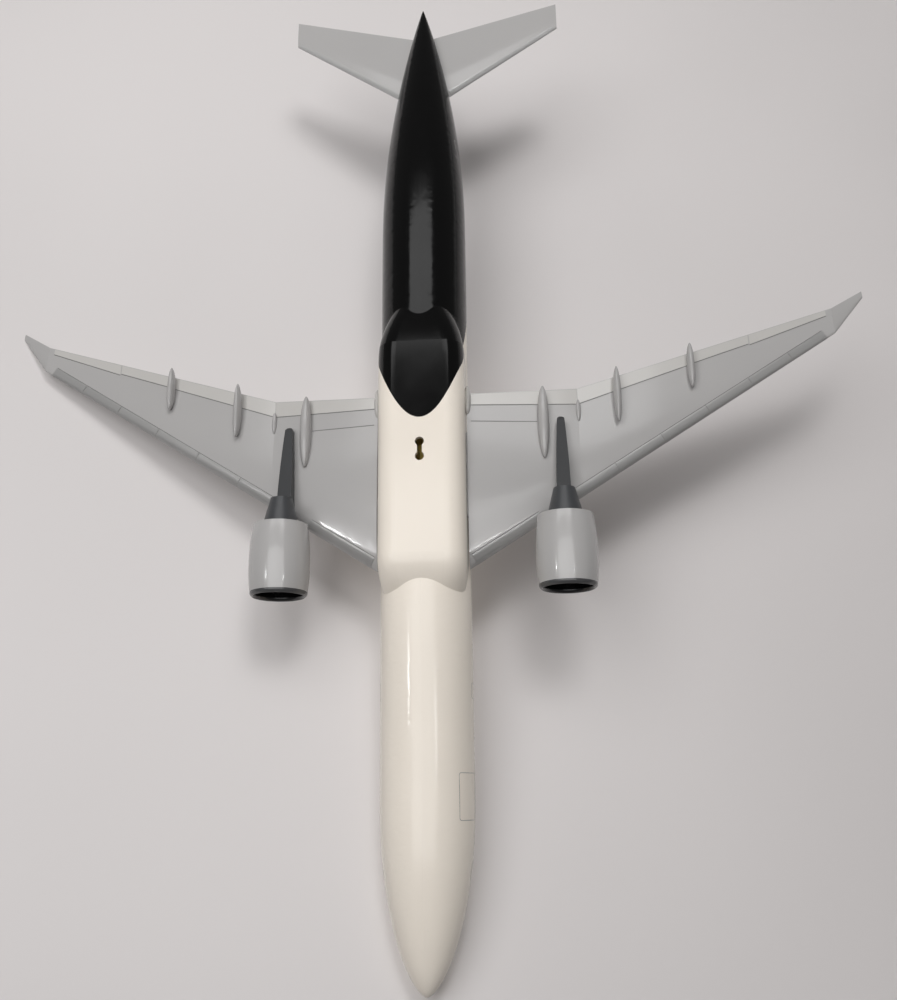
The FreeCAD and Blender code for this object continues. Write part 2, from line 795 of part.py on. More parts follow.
# Fin and tailplanes
fin = largest(fin_blade().cut(skin))
save("fin", joined([fin, fin_tab(0.0)]))
tailplane = largest(tailplane_blade().cut(skin))
save_pair("tailplane", joined([tailplane, tailplane_tab(0.0, 0.0)]))

# Engines and pylons
core_blank = core_solid(False)
pylon_body = pylon_blank()
pylon = largest(pylon_body.cut([blade, core_blank]))
save_pair("pylon", joined([pylon, pylon_peg(0.0)]))
save_pair("engine_core", core_solid(True))
save_pair("exhaust_plug", plug_solid())
save_pair("fan", fan_solid())
save_pair("fan_cowl", largest(cowl_solid().cut(pylon_body)))
save_pair("inlet_lip", lip_solid())
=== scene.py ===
import math

import bmesh
import bpy
from mathutils import Matrix, Vector
from mathutils.bvhtree import BVHTree


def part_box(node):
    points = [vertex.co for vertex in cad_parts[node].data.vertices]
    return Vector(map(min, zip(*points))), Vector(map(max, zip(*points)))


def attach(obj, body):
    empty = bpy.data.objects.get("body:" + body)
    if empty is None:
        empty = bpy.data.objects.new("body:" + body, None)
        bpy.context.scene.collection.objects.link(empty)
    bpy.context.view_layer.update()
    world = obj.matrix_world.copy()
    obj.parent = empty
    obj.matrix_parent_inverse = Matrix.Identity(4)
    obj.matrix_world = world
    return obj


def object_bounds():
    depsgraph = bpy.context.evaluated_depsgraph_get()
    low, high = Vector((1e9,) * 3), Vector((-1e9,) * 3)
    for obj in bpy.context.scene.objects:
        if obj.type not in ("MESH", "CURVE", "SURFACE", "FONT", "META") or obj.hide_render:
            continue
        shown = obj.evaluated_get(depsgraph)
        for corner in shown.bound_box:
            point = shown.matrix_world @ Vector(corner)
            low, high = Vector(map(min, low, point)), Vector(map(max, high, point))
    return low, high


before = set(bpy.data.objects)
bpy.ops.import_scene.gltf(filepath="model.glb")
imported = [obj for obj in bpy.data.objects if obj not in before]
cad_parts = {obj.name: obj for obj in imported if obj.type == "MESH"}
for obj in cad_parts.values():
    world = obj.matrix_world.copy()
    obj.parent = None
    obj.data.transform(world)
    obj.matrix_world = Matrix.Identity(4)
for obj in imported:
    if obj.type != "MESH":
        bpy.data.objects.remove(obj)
cad_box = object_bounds()

# Desktop airliner model: paint for every CAD node, and thin pieces laid on the
# skin for the slats, flaps, grooves, windows and doors. Lengths are metres in
# the row frame, with +X to port, +Y aft and +Z up. A station is a distance in
# millimetres behind the nose. Details are drawn for port and mirrored. The
# model is shown upside down: the camera looks up at its belly, and a table
# lies above the fin.

MM = 0.001
SIDES = {"port": 1, "starboard": -1}

# ------------------------------------------------------- places from the frame

shell_low, shell_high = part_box("fuselage_shell_port")
tube_radius = shell_high.x
nose_y = shell_low.y
axis_z = shell_high.z - tube_radius


def aft(station):
    """The row frame's Y of a place this many millimetres behind the nose."""
    return nose_y + station * MM


def mm(*lengths):
    """Lengths in metres from lengths in millimetres."""
    return tuple(length * MM for length in lengths)


def steps(start, end, count):
    """Evenly spaced values from start to end."""
    return [start + (end - start) * k / (count - 1) for k in range(count)]


def surface(*names):
    """A search tree over the outside of some CAD nodes, for placing details on them."""
    points = []
    faces = []
    for name in names:
        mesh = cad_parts[name].data
        start = len(points)
        points += [v.co.copy() for v in mesh.vertices]
        faces += [[start + i for i in p.vertices] for p in mesh.polygons]
    return BVHTree.FromPolygons(points, faces)


body_tree = surface("fuselage_shell_port", "fuselage_shell_starboard")


def body_point(y, angle, lift):
    """A point on the fuselage skin; the angle runs from the belly over port to the crown."""
    out = Vector((math.sin(angle), 0, -math.cos(angle)))
    middle = Vector((0, y, axis_z))
    hit, normal, _, _ = body_tree.ray_cast(middle + out * 3 * tube_radius, -out)
    if normal.dot(out) < 0:
        normal = -normal
    return hit + normal * lift


def side_angle(height):
    """The angle from the belly at which the tube's skin is this far above its axis."""
    return math.pi / 2 + math.asin(height / tube_radius)


# ---------------------------------------------------------------- shader nodes

def new_material(name):
    """A material with its node tree and its Principled shader."""
    material = bpy.data.materials.new(name)
    material.use_nodes = True
    tree = material.node_tree
    return material, tree, tree.nodes["Principled BSDF"]


def add_node(tree, kind, **settings):
    """A node of one kind with its settings."""
    node = tree.nodes.new(kind)
    for key, value in settings.items():
        setattr(node, key, value)
    return node


def math_node(tree, operation, first, second=0.0, third=None):
    """One arithmetic step; each value is a socket or a number."""
    node = add_node(tree, "ShaderNodeMath", operation=operation)
    for place, value in enumerate((first, second, third)):
        if value is None:
            continue
        if isinstance(value, (int, float)):
            node.inputs[place].default_value = value
        else:
            tree.links.new(value, node.inputs[place])
    return node.outputs[0]


def step_node(tree, value, low, high, start=0.0, end=1.0):
    """A smooth step from start to end while the value goes from low to high."""
    node = add_node(tree, "ShaderNodeMapRange", interpolation_type="SMOOTHSTEP")
    tree.links.new(value, node.inputs["Value"])
    node.inputs["From Min"].default_value = low
    node.inputs["From Max"].default_value = high
    node.inputs["To Min"].default_value = start
    node.inputs["To Max"].default_value = end
    return node.outputs["Result"]


def mix_colour(tree, factor, first, second, blend="MIX"):
    """A colour between two colours or colour sockets."""
    node = add_node(tree, "ShaderNodeMix", data_type="RGBA", blend_type=blend)
    if isinstance(factor, float):
        node.inputs["Factor"].default_value = factor
    else:
        tree.links.new(factor, node.inputs["Factor"])
    for place, value in ((6, first), (7, second)):
        if isinstance(value, tuple):
            node.inputs[place].default_value = (*value, 1.0)
        else:
            tree.links.new(value, node.inputs[place])
    return node.outputs[2]


def place_sockets(tree):
    """Sockets for X, Y and Z in the row frame."""
    place = add_node(tree, "ShaderNodeTexCoord")
    split = add_node(tree, "ShaderNodeSeparateXYZ")
    tree.links.new(place.outputs["Object"], split.inputs[0])
    return split.outputs["X"], split.outputs["Y"], split.outputs["Z"]


def noise_node(tree, scale, detail=3.0):
    """Noise in the row frame, scale in repeats to a metre."""
    place = add_node(tree, "ShaderNodeTexCoord")
    noise = add_node(tree, "ShaderNodeTexNoise")
    noise.inputs["Scale"].default_value = scale
    noise.inputs["Detail"].default_value = detail
    tree.links.new(place.outputs["Object"], noise.inputs["Vector"])
    return noise.outputs["Fac"]


# ------------------------------------------------------------------- materials

PEEL_HEIGHT = 0.05 * MM
DUST_KEPT = 0.975
DUST_ADDED = 0.005


def finish_paint(tree, shader, colour, roughness, spread, grain, bump):
    """Colour drift, uneven gloss and fine orange peel that sprayed paint has."""
    drift = step_node(tree, noise_node(tree, 18.0), 0.3, 0.7, 0.98, 1.02)
    tint = mix_colour(tree, 1.0, colour, drift, blend="MULTIPLY")
    tree.links.new(tint, shader.inputs["Base Color"])
    smear = noise_node(tree, 60.0, 5.0)
    uneven = step_node(tree, smear, 0.3, 0.75, roughness - spread, roughness + spread)
    tree.links.new(uneven, shader.inputs["Roughness"])
    peel = add_node(tree, "ShaderNodeBump")
    peel.inputs["Strength"].default_value = bump
    peel.inputs["Distance"].default_value = PEEL_HEIGHT
    tree.links.new(noise_node(tree, grain, 2.0), peel.inputs["Height"])
    tree.links.new(peel.outputs["Normal"], shader.inputs["Normal"])


def dusty_colour(tree, colour):
    """A plain colour as a socket, with fine specks of dust in it."""
    specks = step_node(tree, noise_node(tree, 900.0, 1.0), 0.70, 0.78)
    dusty = tuple(DUST_KEPT * c + DUST_ADDED for c in colour)
    return mix_colour(tree, specks, colour, dusty)


def paint(name, colour, roughness, spread=0.02, grain=1400.0, bump=0.05, coat=0.0, metallic=0.0,
          sheen=0.5):
    """One sprayed colour all over; sheen is the specular level, half for ordinary paint."""
    material, tree, shader = new_material(name)
    shader.inputs["Specular IOR Level"].default_value = sheen
    shader.inputs["Coat Weight"].default_value = coat
    shader.inputs["Coat Roughness"].default_value = 0.06
    shader.inputs["Metallic"].default_value = metallic
    finish_paint(tree, shader, dusty_colour(tree, colour), roughness, spread, grain, bump)
    return material


WHITE = (0.87, 0.80, 0.71)
BLACK = (0.0014, 0.0014, 0.0015)
BLACK_SHEEN = 0.30
WING_GREY = (0.40, 0.39, 0.385)
COWL_GREY = (0.42, 0.41, 0.405)
LIP_GREY = (0.058, 0.058, 0.06)
# Near black down the engine bores: painted shade inside the inlet ducts
BORE_SHADE_BLACK = (0.006, 0.006, 0.0065)

# The white ends on the belly at a station, further aft by the bow for each
# square millimetre off the centre plane. From a height below the axis it also
# sweeps aft, and has swept by its whole length at the axis.
livery_station = 182.6
livery_bow = 0.097 / MM
livery_sweep_height = 14.0 * MM
livery_sweep = 20.0 * MM
livery_sweep_curve = 1.25
livery_blur = 0.12 * MM


def livery():
    """Warm white forward and gloss black aft, parted by a line that sweeps back from the belly."""
    material, tree, shader = new_material("fuselage_livery")
    shader.inputs["Specular IOR Level"].default_value = BLACK_SHEEN
    x, y, z = place_sockets(tree)
    bow = math_node(tree, "MULTIPLY", math_node(tree, "MULTIPLY", x, x), livery_bow)
    rise = math_node(tree, "SUBTRACT", z, axis_z - livery_sweep_height)
    rise = math_node(tree, "MAXIMUM", rise, 0.0)
    share = math_node(tree, "DIVIDE", rise, livery_sweep_height)
    climb = math_node(tree, "POWER", share, livery_sweep_curve)
    edge = math_node(tree, "MULTIPLY_ADD", climb, livery_sweep, bow)
    edge = math_node(tree, "ADD", edge, aft(livery_station))
    beyond = math_node(tree, "SUBTRACT", y, edge)
    dark = step_node(tree, beyond, -livery_blur, livery_blur)
    colour = mix_colour(tree, dark, dusty_colour(tree, WHITE), BLACK)
    finish_paint(tree, shader, colour, 0.15, 0.03, 1200.0, 0.03)
    return material


cowl_low, cowl_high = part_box("fan_cowl_port")
engine_axis = (cowl_low + cowl_high) / 2
bore_radius = surface("fan_cowl_port").ray_cast(engine_axis, Vector((1, 0, 0)))[3]


def grey_paint_with_bore_shade(name, grey, edge_low, edge_high, roughness, coat):
    """Grey outside, and near black down the bore as painted shade, parted this far outside the bore's radius.
    """
    material, tree, shader = new_material(name)
    shader.inputs["Coat Weight"].default_value = coat
    shader.inputs["Coat Roughness"].default_value = 0.05
    x, _, z = place_sockets(tree)
    across = math_node(tree, "SUBTRACT", math_node(tree, "ABSOLUTE", x), engine_axis.x)
    height = math_node(tree, "SUBTRACT", z, engine_axis.z)
    square = math_node(tree, "MULTIPLY", across, across)
    radius = math_node(tree, "SQRT", math_node(tree, "MULTIPLY_ADD", height, height, square))
    # Painted shade: the colour turns near black down the bore, where the duct lies in shade
    painted_bore_shade = step_node(tree, radius, bore_radius + edge_low, bore_radius + edge_high, 1.0, 0.0)
    colour = mix_colour(tree, painted_bore_shade, dusty_colour(tree, grey), BORE_SHADE_BLACK)
    finish_paint(tree, shader, colour, roughness, 0.03, 1400.0, 0.05)
    return material


livery_paint = livery()
black_paint = paint("tail_black", BLACK, 0.12, spread=0.03, sheen=BLACK_SHEEN)
wing_paint = paint("wing_grey_paint", WING_GREY, 0.17, coat=0.2)
# Cowl and lip are grey outside, with painted shade down the bore
cowl_paint_and_bore_shade = grey_paint_with_bore_shade("cowl_grey_and_bore_shade", COWL_GREY, 0.75 * MM, 0.95 * MM, 0.2, 0.4)
lip_paint_and_bore_shade = grey_paint_with_bore_shade("lip_dark_grey_and_bore_shade", LIP_GREY, 0.5 * MM, 0.75 * MM, 0.24, 0.2)
core_plastic = paint("core_dark_grey", (0.052, 0.054, 0.058), 0.34, grain=2200.0, bump=0.2)
pylon_plastic = paint("pylon_dark_grey", (0.030, 0.031, 0.033), 0.34, grain=2200.0, bump=0.1, sheen=0.25)
# The fan is near black over a slightly metallic finish: painted shade deep inside the inlet
fan_metal = paint("fan_metal", (0.012, 0.012, 0.0125), 0.45, metallic=0.3)
brass = paint("socket_brass", (0.22, 0.160, 0.034), 0.35, metallic=0.6, bump=0.3)
plain_plastic = paint("inner_plastic", (0.35, 0.35, 0.34), 0.5, bump=0.3)
slat_metal = paint("slat_silver", (0.36, 0.355, 0.35), 0.30, metallic=0.3)
# Lighter grey than the wing: painted light, for the light the flaps and the wing-root lobes catch
flap_and_lobe_painted_light = paint("flap_and_lobe_grey_painted_light", (0.50, 0.485, 0.465), 0.2, coat=0.4)
# Dark grey lines on the skin: painted shadow of the grooves at the hinges and behind the slats
groove_painted_shadow = paint("groove_shadow", (0.16, 0.16, 0.155), 0.6)
edge_silver = paint("tail_edge_silver", (0.52, 0.515, 0.51), 0.2, metallic=0.3)
glass = paint("window_glass", (0.02, 0.022, 0.026), 0.12, coat=0.4)
line_ink = paint("door_line_grey", (0.30, 0.29, 0.28), 0.5)


def clothe(node, material):
    """Give a CAD node its finished material."""
    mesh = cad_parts[node].data
    mesh.materials.clear()
    mesh.materials.append(material)


flap_tracks_per_wing = 4
for side in SIDES:
    clothe(f"fuselage_shell_{side}", livery_paint)
    clothe(f"wing_{side}", wing_paint)
    clothe(f"tailplane_{side}", wing_paint)
    clothe(f"fan_cowl_{side}", cowl_paint_and_bore_shade)
    clothe(f"inlet_lip_{side}", lip_paint_and_bore_shade)
    clothe(f"pylon_{side}", pylon_plastic)
    clothe(f"engine_core_{side}", core_plastic)
    clothe(f"exhaust_plug_{side}", core_plastic)
    clothe(f"fan_{side}", fan_metal)
    for number in range(1, flap_tracks_per_wing + 1):
        clothe(f"flap_track_fairing_{number}_{side}", wing_paint)
clothe("fin", black_paint)
clothe("stand_socket_cup", brass)
for node in ("seam_pegs", "wing_carrier", "tail_carrier"):
    clothe(node, plain_plastic)

# ------------------------------------------------------------- building pieces

SHARP_EDGE = math.radians(35)


def keep_piece(name, part, material):
    """Make a mesh piece that rides with the model, in the given material."""
    points, faces = part
    mesh = bpy.data.meshes.new(name)
    mesh.from_pydata([tuple(p) for p in points], [], faces)
    shape = bmesh.new()
    shape.from_mesh(mesh)
    bmesh.ops.recalc_face_normals(shape, faces=shape.faces)
    shape.to_mesh(mesh)
    shape.free()
    for polygon in mesh.polygons:
        polygon.use_smooth = True
    mesh.set_sharp_from_angle(angle=SHARP_EDGE)
    mesh.materials.append(material)
    piece = bpy.data.objects.new(name, mesh)
    bpy.context.scene.collection.objects.link(piece)
    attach(piece, "root")
    return piece


def slab(rows, sunk_rows):
    """The closed skin between a grid of top points and the same grid sunk into the surface."""
    across = len(rows[0])
    count = len(rows)
    points = [p for row in rows for p in row] + [p for row in sunk_rows for p in row]
    below = count * across
    faces = []
    for i in range(count - 1):
        for j in range(across - 1):
            a = i * across + j
            quad = [a, a + 1, a + across + 1, a + across]
            faces.append(quad)
            faces.append([below + k for k in reversed(quad)])
    rim = list(range(across))
    rim += [i * across + across - 1 for i in range(1, count)]
    rim += [(count - 1) * across + j for j in range(across - 2, -1, -1)]
    rim += [i * across for i in range(count - 2, 0, -1)]
    for step, a in enumerate(rim):
        b = rim[(step + 1) % len(rim)]
        faces.append([a, b, below + b, below + a])
    return points, faces


def merged(parts):
    """Several lists of points and faces as one."""
    points = []
    faces = []
    for some_points, some_faces in parts:
        start = len(points)
        points += some_points
        faces += [[start + k for k in face] for face in some_faces]
    return points, faces


def on_side(part, side):
    """A part drawn for port, left there or mirrored to starboard."""
    points, faces = part
    return [Vector((p[0] * SIDES[side], p[1], p[2])) for p in points], faces


# ---------------------------------------------------- wing and tailplane skins

class Blade:
    """The skin of a port wing or tailplane, for laying details on."""

    # From a slat's back edge to its front: share of its depth, share of its height
    cap_profile = [(1.0, -0.5), (0.985, 0.8), (0.94, 1.0), (0.75, 0.95), (0.5, 0.85), (0.3, 0.7),
                   (0.13, 0.5)]
    cap_tip_share = 0.3
    cap_upper_share = 0.5
    panel_margin = 0.25 * MM
    groove_height = 0.06 * MM

    def __init__(self, node):
        self.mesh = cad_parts[node].data
        self.tree = surface(node)
        self.known = {}

    def edges_at(self, x):
        """The leading and trailing edge points at one span."""
        key = round(x, 6)
        if key not in self.known:
            ends = []
            for edge in self.mesh.edges:
                a = self.mesh.vertices[edge.vertices[0]].co
                b = self.mesh.vertices[edge.vertices[1]].co
                if (a.x - x) * (b.x - x) <= 0 and abs(a.x - b.x) > 1e-9:
                    ends.append(a.lerp(b, (x - a.x) / (b.x - a.x)))
            self.known[key] = (min(ends, key=lambda p: p.y), max(ends, key=lambda p: p.y))
        return self.known[key]

    def point(self, x, y, under, lift):
        """A point on the lower or upper skin, lifted along its normal."""
        rise = 1 if under else -1
        hit, normal, _, _ = self.tree.ray_cast(Vector((x, y, -rise)), Vector((0, 0, rise)))
        if hit is None:
            front, rear = self.edges_at(x)
            share = (y - front.y) / (rear.y - front.y)
            hit, normal, _, _ = self.tree.find_nearest(front.lerp(rear, min(max(share, 0), 1)))
        if normal.z * rise > 0:
            normal = -normal
        return hit + normal * lift

    def inward(self, x_start, x_end):
        """The way square to the leading edge and into the blade."""
        along = self.edges_at(x_end)[0] - self.edges_at(x_start)[0]
        return Vector((-along.y, along.x, 0)).normalized()

    def nose_cap(self, x_start, x_end, depth, height):
        """A raised slat wrapped round the leading edge from the lower to the upper skin."""
        inward = self.inward(x_start, x_end)
        rows = []
        sunk = []
        for x in steps(x_start, x_end, 9):
            nose = self.edges_at(x)[0]
            row = []
            low = []
            for share, lift in self.cap_profile:
                place = nose + inward * depth * share
                row.append(self.point(place.x, place.y, True, height * lift))
                low.append(self.point(place.x, place.y, True, -height))
            row.append(nose - inward * height * self.cap_tip_share)
            low.append(nose + inward * height)
            upper = height * self.cap_upper_share
            for share, lift in reversed(self.cap_profile):
                place = nose + inward * depth * share
                row.append(self.point(place.x, place.y, False, upper * lift))
                low.append(self.point(place.x, place.y, False, -upper))
            rows.append(row)
            sunk.append(low)
        return slab(rows, sunk)

    def rear_panel(self, x_start, x_end, depth_start, depth_end, height, under):
        """A thin panel in front of the trailing edge."""
        rows = []
        sunk = []
        for x, depth in zip(steps(x_start, x_end, 9), steps(depth_start, depth_end, 9)):
            rear = self.edges_at(x)[1].y - self.panel_margin
            places = steps(rear - depth, rear, 6)
            rows.append([self.point(x, y, under, height) for y in places])
            sunk.append([self.point(x, y, under, -height) for y in places])
        return slab(rows, sunk)

    def groove(self, places, width, under):
        """A narrow dark line drawn through places on the skin: the painted shadow of a groove."""
        rows = []
        sunk = []
        for number, (x, y) in enumerate(places):
            before = Vector(places[max(number - 1, 0)])
            after = Vector(places[min(number + 1, len(places) - 1)])
            along = (after - before).normalized()
            out = Vector((-along.y, along.x)) * width / 2
            edges = [(x - out.x, y - out.y), (x + out.x, y + out.y)]
            rows.append([self.point(a, b, under, self.groove_height) for a, b in edges])
            sunk.append([self.point(a, b, under, -self.groove_height) for a, b in edges])
        return slab(rows, sunk)

    def rear_groove(self, x_start, x_end, depth_start, depth_end, width, under):
        """A groove at a changing distance in front of the trailing edge."""
        places = []
        for x, depth in zip(steps(x_start, x_end, 10), steps(depth_start, depth_end, 10)):
            places.append((x, self.edges_at(x)[1].y - depth))
        return self.groove(places, width, under)

    def nose_groove(self, x_start, x_end, depth, width, under):
        """A groove along the back of the slats."""
        inward = self.inward(x_start, x_end)
        places = []
        for x in steps(x_start, x_end, 12):
            place = self.edges_at(x)[0] + inward * depth
            places.append((place.x, place.y))
        return self.groove(places, width, under)


# ------------------------------------------------------------- slats and flaps

wing = Blade("wing_port")

# Spans at which the slats begin and end; the engine's pylon stands in the break
inner_slat = mm(18.2, 41.0)
slat_joints = mm(52.6, 67.9, 84.4, 100.9, 117.0, 132.3, 146.0)
slat_gap = 0.24 * MM
slat_depth = 3.4 * MM
slat_height = 0.3 * MM
slat_groove_setback = 0.12 * MM
slat_groove_width = 0.2 * MM

# Each flap's inner and outer span, and its depth at each
flaps = [mm(16.9, 54.1, 3.9, 5.6), mm(54.3, 95.0, 5.6, 4.2), mm(95.2, 116.9, 4.0, 3.4),
         mm(117.3, 146.5, 3.9, 2.1)]
flap_height = 0.05 * MM
hinge_setback = 0.45 * MM
spoiler_hinge = mm(16.9, 39.8, 10.4, 11.9)
hinge_groove_width = 0.26 * MM


def slats():
    """All slats of the port wing."""
    spans = [inner_slat] + [(a, b - slat_gap) for a, b in zip(slat_joints, slat_joints[1:])]
    return merged([wing.nose_cap(a, b, slat_depth, slat_height) for a, b in spans])


def wing_grooves(under):
    """The hinge lines and the lines behind the slats on one skin of the port wing, as painted shadow."""
    lines = []
    for start, end, depth_start, depth_end in flaps:
        lines.append(wing.rear_groove(start, end, depth_start + hinge_setback, depth_end + hinge_setback,
                                      hinge_groove_width, under))
    lines.append(wing.rear_groove(*spoiler_hinge, hinge_groove_width, under))
    outer_slats = (slat_joints[0], slat_joints[-1] - slat_groove_width)
    for span in (inner_slat, outer_slats):
        lines.append(wing.nose_groove(*span, slat_depth + slat_groove_setback, slat_groove_width, under))
    return merged(lines)


for side in SIDES:
    keep_piece(f"slats_{side}", on_side(slats(), side), slat_metal)
    for under, level in ((True, "lower"), (False, "upper")):
        # The flap panels take the lighter grey: painted light
        panels = merged([wing.rear_panel(*flap, flap_height, under) for flap in flaps])
        keep_piece(f"flaps_{level}_{side}", on_side(panels, side), flap_and_lobe_painted_light)
        lines = wing_grooves(under)
        keep_piece(f"wing_grooves_{level}_{side}", on_side(lines, side), groove_painted_shadow)

# ------------------------------------------- tailplane edges, wing-root lobes

tailplane = Blade("tailplane_port")
tailplane_low, tailplane_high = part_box("tailplane_port")
tailplane_edge_span = (tailplane_low.x + 3.0 * MM, tailplane_high.x - 0.9 * MM)
tailplane_edge = tailplane.nose_cap(*tailplane_edge_span, 1.9 * MM, 0.16 * MM)
for side in SIDES:
    keep_piece(f"tailplane_edge_{side}", on_side(tailplane_edge, side), edge_silver)


def bead(place, size, rings=10, round_count=16):
    """A closed rounded bead with its three half sizes, drawn as rings along the model."""
    points = []
    for i in range(1, rings):
        turn = math.pi * i / rings
        for k in range(round_count):
            roll = 2 * math.pi * k / round_count
            points.append(Vector((place.x + size[0] * math.sin(turn) * math.cos(roll),
                                  place.y - size[1] * math.cos(turn),
                                  place.z + size[2] * math.sin(turn) * math.sin(roll))))
    faces = []
    for start in range(0, (rings - 2) * round_count, round_count):
        for k in range(round_count):
            after = (k + 1) % round_count
            faces.append([start + k, start + after, start + round_count + after, start + round_count + k])
    last_ring = len(points) - round_count
    for end, first in ((-1, 0), (1, last_ring)):
        points.append(Vector((place.x, place.y + end * size[1], place.z)))
        for k in range(round_count):
            faces.append([len(points) - 1, first + k, first + (k + 1) % round_count])
    return points, faces


# The small swelling where each wing's trailing edge meets the fuselage; its lighter grey is a painted
# highlight
lobe_station = 191.5
lobe_out = 0.3 * MM
lobe_drop = 0.4 * MM
lobe_half_size = mm(1.2, 5.6, 2.0)
root_span = 17.0 * MM
lobe_z = wing.edges_at(root_span)[1].z - lobe_drop
lobe = bead(Vector((shell_high.x + lobe_out, aft(lobe_station), lobe_z)), lobe_half_size)
for side in SIDES:
    keep_piece(f"wing_root_lobe_{side}", on_side(lobe, side), flap_and_lobe_painted_light)

# ------------------------------------------------------- markings on the body

decal_height = 0.03 * MM
line_height = 0.04 * MM
line_step = 1.2 * MM
corner_trim = 0.22


def patch(y_low, y_high, angle_low, angle_high, count=5):
    """A thin panel on the fuselage between two places and two angles, cut at its corners."""
    rows = []
    sunk = []
    for angle in steps(angle_low, angle_high, count):
        end = abs(2 * (angle - angle_low) / (angle_high - angle_low) - 1)
        trim = (y_high - y_low) * corner_trim * max(end - 0.5, 0) * 2
        places = steps(y_low + trim, y_high - trim, count)
        rows.append([body_point(y, angle, decal_height) for y in places])
        sunk.append([body_point(y, angle, -decal_height) for y in places])
    return slab(rows, sunk)


def round_rectangle(half_length, half_height, corner):
    """Points round a rectangle with round corners about its middle, close enough to bend with the skin."""
    turns = steps(0, math.pi / 2, 5)
    corners = []
    for quarter, (along, up) in enumerate(((1, 1), (-1, 1), (-1, -1), (1, -1))):
        for turn in turns:
            bend = turn + quarter * math.pi / 2
            corners.append((along * (half_length - corner) + corner * math.cos(bend),
                            up * (half_height - corner) + corner * math.sin(bend)))
    points = []
    for here, after in zip(corners, corners[1:] + corners[:1]):
        count = max(int(math.dist(here, after) / line_step), 1)
        for k in range(count):
            share = k / count
            points.append(tuple(a + (b - a) * share for a, b in zip(here, after)))
    points.append(points[0])
    return points


def outline(y_low, y_high, angle_low, angle_high, width, corner):
    """A thin line round a door: a rectangle with round corners on the fuselage skin."""
    half_height = (angle_high - angle_low) / 2 * tube_radius
    middle_y = (y_low + y_high) / 2
    middle_angle = (angle_low + angle_high) / 2
    rows = []
    sunk = []
    for along, up in round_rectangle((y_high - y_low) / 2, half_height, corner):
        inner = 1 - width / math.hypot(along, up)
        for target, lift in ((rows, line_height), (sunk, -line_height)):
            target.append([body_point(middle_y + along * scale, middle_angle + up * scale / tube_radius, lift)
                           for scale in (1.0, inner)])
    return slab(rows, sunk)


line_width = 0.2 * MM
door_stations = [36.0, 92.0, 148.0, 238.0, 298.0]
door_half_width = 2.6 * MM
door_corner = 0.9 * MM
door_foot, door_head = mm(-3.6, 5.2)
cargo_door_corner = 0.8 * MM

window_first = 45.0
window_last = 290.0
window_pitch = 2.67
window_width = 1.25 * MM
window_sill, window_top = mm(1.9, 3.5)

# Each cockpit pane's front and rear stations, and its angles in degrees from the belly
panes = [(11.5, 15.5, 153, 176), (12.5, 17.0, 132, 151), (15.0, 19.5, 118, 131)]
cargo_door = (51.3, 65.9, 46, 84)


def door(station):
    """The outline of one cabin door."""
    return outline(aft(station) - door_half_width, aft(station) + door_half_width,
                   side_angle(door_foot), side_angle(door_head), line_width, door_corner)


def cabin_windows():
    """The row of windows on the port side, which leaves the doors free."""
    parts = []
    clearance = door_half_width + window_width
    station = window_first
    while station < window_last:
        if all(abs(station - d) * MM > clearance for d in door_stations):
            parts.append(patch(aft(station) - window_width / 2, aft(station) + window_width / 2,
                               side_angle(window_sill), side_angle(window_top), 4))
        station += window_pitch
    return merged(parts)


def cockpit_panes():
    """The panes on the port half of the nose."""
    return merged([patch(aft(front), aft(rear), math.radians(low), math.radians(high))
                   for front, rear, low, high in panes])


def cargo_door_outline():
    """The outline of the freight door low on the forward body."""
    front, rear, low, high = cargo_door
    return outline(aft(front), aft(rear), math.radians(low), math.radians(high), line_width,
                   cargo_door_corner)


windows = cabin_windows()
doors = merged([door(station) for station in door_stations])
for side in SIDES:
    keep_piece(f"cabin_windows_{side}", on_side(windows, side), glass)
    keep_piece(f"door_lines_{side}", on_side(doors, side), line_ink)
    keep_piece(f"cockpit_panes_{side}", on_side(cockpit_panes(), side), glass)
keep_piece("cargo_door_line", on_side(cargo_door_outline(), "starboard"), line_ink)

# --------------------------------------------------------------------- camera

camera_place = mm(-38.91, -113.15, -333.20)
picture_right = Vector((-0.99576, -0.01242, 0.09110))
line_of_sight = Vector((0.08429, 0.27245, 0.95847))
picture_up = picture_right.cross(line_of_sight)

camera_data = bpy.data.cameras.new("camera")
camera_data.lens = 37.883
camera_data.sensor_width = 36.0
camera_data.clip_start = 0.02
camera_data.clip_end = 50.0
camera = bpy.data.objects.new("camera", camera_data)
bpy.context.scene.collection.objects.link(camera)
camera_turn = Matrix((picture_right, picture_up, -line_of_sight)).transposed().to_4x4()
camera.matrix_world = Matrix.Translation(camera_place) @ camera_turn
bpy.context.scene.camera = camera

# ------------------------------------------------------------ table and floor

def camera_ray(tree):
    """One for rays that come from the camera, else zero."""
    return add_node(tree, "ShaderNodeLightPath").outputs["Is Camera Ray"]


def looking_ray(tree):
    """One for rays that come from the camera or off a glossy or clear surface, else zero."""
    path = add_node(tree, "ShaderNodeLightPath")
    seen = math_node(tree, "MAXIMUM", path.outputs["Is Camera Ray"], path.outputs["Is Glossy Ray"])
    return math_node(tree, "MAXIMUM", seen, path.outputs["Is Transmission Ray"])


def mix_shader(tree, factor, first, second):
    """A shader between two others."""
    node = add_node(tree, "ShaderNodeMixShader")
    for socket, value in zip(node.inputs, (factor, first, second)):
        tree.links.new(value, socket)
    return node.outputs[0]


